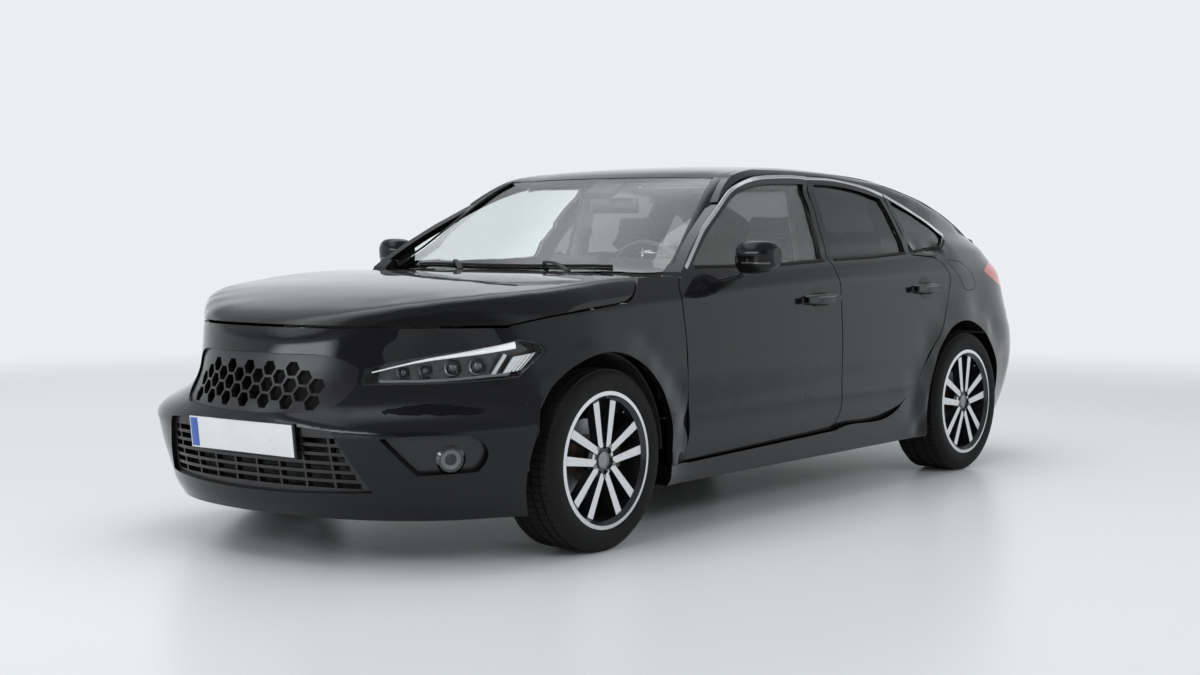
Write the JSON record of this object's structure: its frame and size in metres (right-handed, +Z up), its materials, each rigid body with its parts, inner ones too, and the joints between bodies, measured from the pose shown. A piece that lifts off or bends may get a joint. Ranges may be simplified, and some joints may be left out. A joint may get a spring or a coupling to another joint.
{
  "type": "hatchback car",
  "caption": "Compact hatchback car in gloss black, with opening doors, bonnet and tailgate, steered front wheels and turning road wheels.",
  "frame": {"origin": "on the ground, in the middle of the length and the width", "axes": "+X forwards, +Y to the car's left, +Z up"},
  "size_m": [4.5507, 2.082, 1.4079],
  "materials": {
    "body_paint": "gloss black paint",
    "bumper_paint": "gloss black paint on plastic",
    "clear_glass": "clear, faintly green",
    "dark_glass": "dark privacy glass",
    "lamp_glass": "clear lens over a dark reflector",
    "lamp_red": "clear red",
    "grille_black": "gloss black",
    "black_plastic": "grained black",
    "tyre_rubber": "matt rubber",
    "rim_alloy": "bright machined faces over dark pockets",
    "brake_steel": "machined",
    "knuckle_iron": "cast",
    "chassis_steel": "dark coated steel",
    "exhaust_steel": "dull steel",
    "engine_alloy": "cast alloy",
    "floor_paint": "black underseal",
    "seat_cloth": "dark grey woven cloth",
    "cabin_plastic": "soft dark plastic"
  },
  "bodies": {
    "shell": {"arch_liners": "black_plastic", "body_side_left": "body_paint", "body_side_right": "body_paint", "cowl": "black_plastic", "dashboard": "cabin_plastic", "engine_block": "engine_alloy", "exhaust": "exhaust_steel", "fender_left": "body_paint", "fender_right": "body_paint", "floor_pan": "floor_paint", "front_bumper": "bumper_paint", "front_frame": "chassis_steel", "front_seats": "seat_cloth", "front_suspension": "chassis_steel", "headlamp_left": "lamp_glass", "headlamp_right": "lamp_glass", "lower_grille": "black_plastic", "quarter_glass": "dark_glass", "radiator": "engine_alloy", "rear_bumper": "bumper_paint", "rear_panel": "floor_paint", "rear_seat": "seat_cloth", "rear_suspension": "chassis_steel", "roof": "body_paint", "tail_lamps": "lamp_red", "upper_grille": "grille_black", "windscreen": "clear_glass"},
    "bonnet": {"bonnet": "body_paint"},
    "tailgate": {"tailgate": "body_paint", "tailgate_glass": "dark_glass", "tailgate_lamps": "lamp_red"},
    "steering_wheel": {"steering_wheel": "cabin_plastic"},
    "door_front_left": {"door_front_left": "body_paint", "glass_front_left": "clear_glass", "mirror_left": "body_paint"},
    "door_rear_left": {"door_rear_left": "body_paint", "glass_rear_left": "dark_glass"},
    "knuckle_left": {"knuckle_left": "knuckle_iron"},
    "wheel_front_left": {"tyre_front_left": "tyre_rubber", "rim_front_left": "rim_alloy", "disc_front_left": "brake_steel"},
    "wheel_rear_left": {"tyre_rear_left": "tyre_rubber", "rim_rear_left": "rim_alloy", "disc_rear_left": "brake_steel"},
    "door_front_right": {"door_front_right": "body_paint", "glass_front_right": "clear_glass", "mirror_right": "body_paint"},
    "door_rear_right": {"door_rear_right": "body_paint", "glass_rear_right": "dark_glass"},
    "knuckle_right": {"knuckle_right": "knuckle_iron"},
    "wheel_front_right": {"tyre_front_right": "tyre_rubber", "rim_front_right": "rim_alloy", "disc_front_right": "brake_steel"},
    "wheel_rear_right": {"tyre_rear_right": "tyre_rubber", "rim_rear_right": "rim_alloy", "disc_rear_right": "brake_steel"}
  },
  "joints": [
    {"name": "bonnet_hinge", "type": "hinge", "parent": "shell", "child": "bonnet", "pos_m": [0.9785, 0, 0.955], "axis": [0, -1, 0], "range_deg": [0, 50]},
    {"name": "tailgate_hinge", "type": "hinge", "parent": "shell", "child": "tailgate", "pos_m": [-1.089, 0, 1.372], "axis": [0, 1, 0], "range_deg": [0, 75]},
    {"name": "door_front_left_hinge", "type": "hinge", "parent": "shell", "child": "door_front_left", "pos_m": [0.8605, 0.884, 0.6], "axis": [0, 0, -1], "range_deg": [0, 68]},
    {"name": "door_rear_left_hinge", "type": "hinge", "parent": "shell", "child": "door_rear_left", "pos_m": [-0.2825, 0.888, 0.6], "axis": [0, 0, -1], "range_deg": [0, 68]},
    {"name": "steer_left", "type": "hinge", "parent": "shell", "child": "knuckle_left", "pos_m": [1.3735, 0.7215, 0.3226], "axis": [0, 0, 1], "range_deg": [-34, 34]},
    {"name": "wheel_front_left_spin", "type": "hinge", "parent": "knuckle_left", "child": "wheel_front_left", "pos_m": [1.3735, 0.7735, 0.3226], "axis": [0, 1, 0], "continuous": true},
    {"name": "wheel_rear_left_spin", "type": "hinge", "parent": "shell", "child": "wheel_rear_left", "pos_m": [-1.3605, 0.7875, 0.3226], "axis": [0, 1, 0], "continuous": true},
    {"name": "door_front_right_hinge", "type": "hinge", "parent": "shell", "child": "door_front_right", "pos_m": [0.8605, -0.884, 0.6], "axis": [0, 0, 1], "range_deg": [0, 68]},
    {"name": "door_rear_right_hinge", "type": "hinge", "parent": "shell", "child": "door_rear_right", "pos_m": [-0.2825, -0.888, 0.6], "axis": [0, 0, 1], "range_deg": [0, 68]},
    {"name": "steer_right", "type": "hinge", "parent": "shell", "child": "knuckle_right", "pos_m": [1.3735, -0.7215, 0.3226], "axis": [0, 0, 1], "range_deg": [-34, 34]},
    {"name": "wheel_front_right_spin", "type": "hinge", "parent": "knuckle_right", "child": "wheel_front_right", "pos_m": [1.3735, -0.7735, 0.3226], "axis": [0, 1, 0], "continuous": true},
    {"name": "wheel_rear_right_spin", "type": "hinge", "parent": "shell", "child": "wheel_rear_right", "pos_m": [-1.3605, -0.7875, 0.3226], "axis": [0, 1, 0], "continuous": true},
    {"name": "steering_wheel_turn", "type": "hinge", "parent": "shell", "child": "steering_wheel", "pos_m": [0.3885, 0.37, 0.905], "axis": [-0.8988, 0, 0.4384], "range_deg": [-408, 408]}
  ],
  "couplings": [
    {"joint": "steer_right", "follows": "steer_left", "ratio": 1},
    {"joint": "steering_wheel_turn", "follows": "steer_left", "ratio": 12}
  ]
}
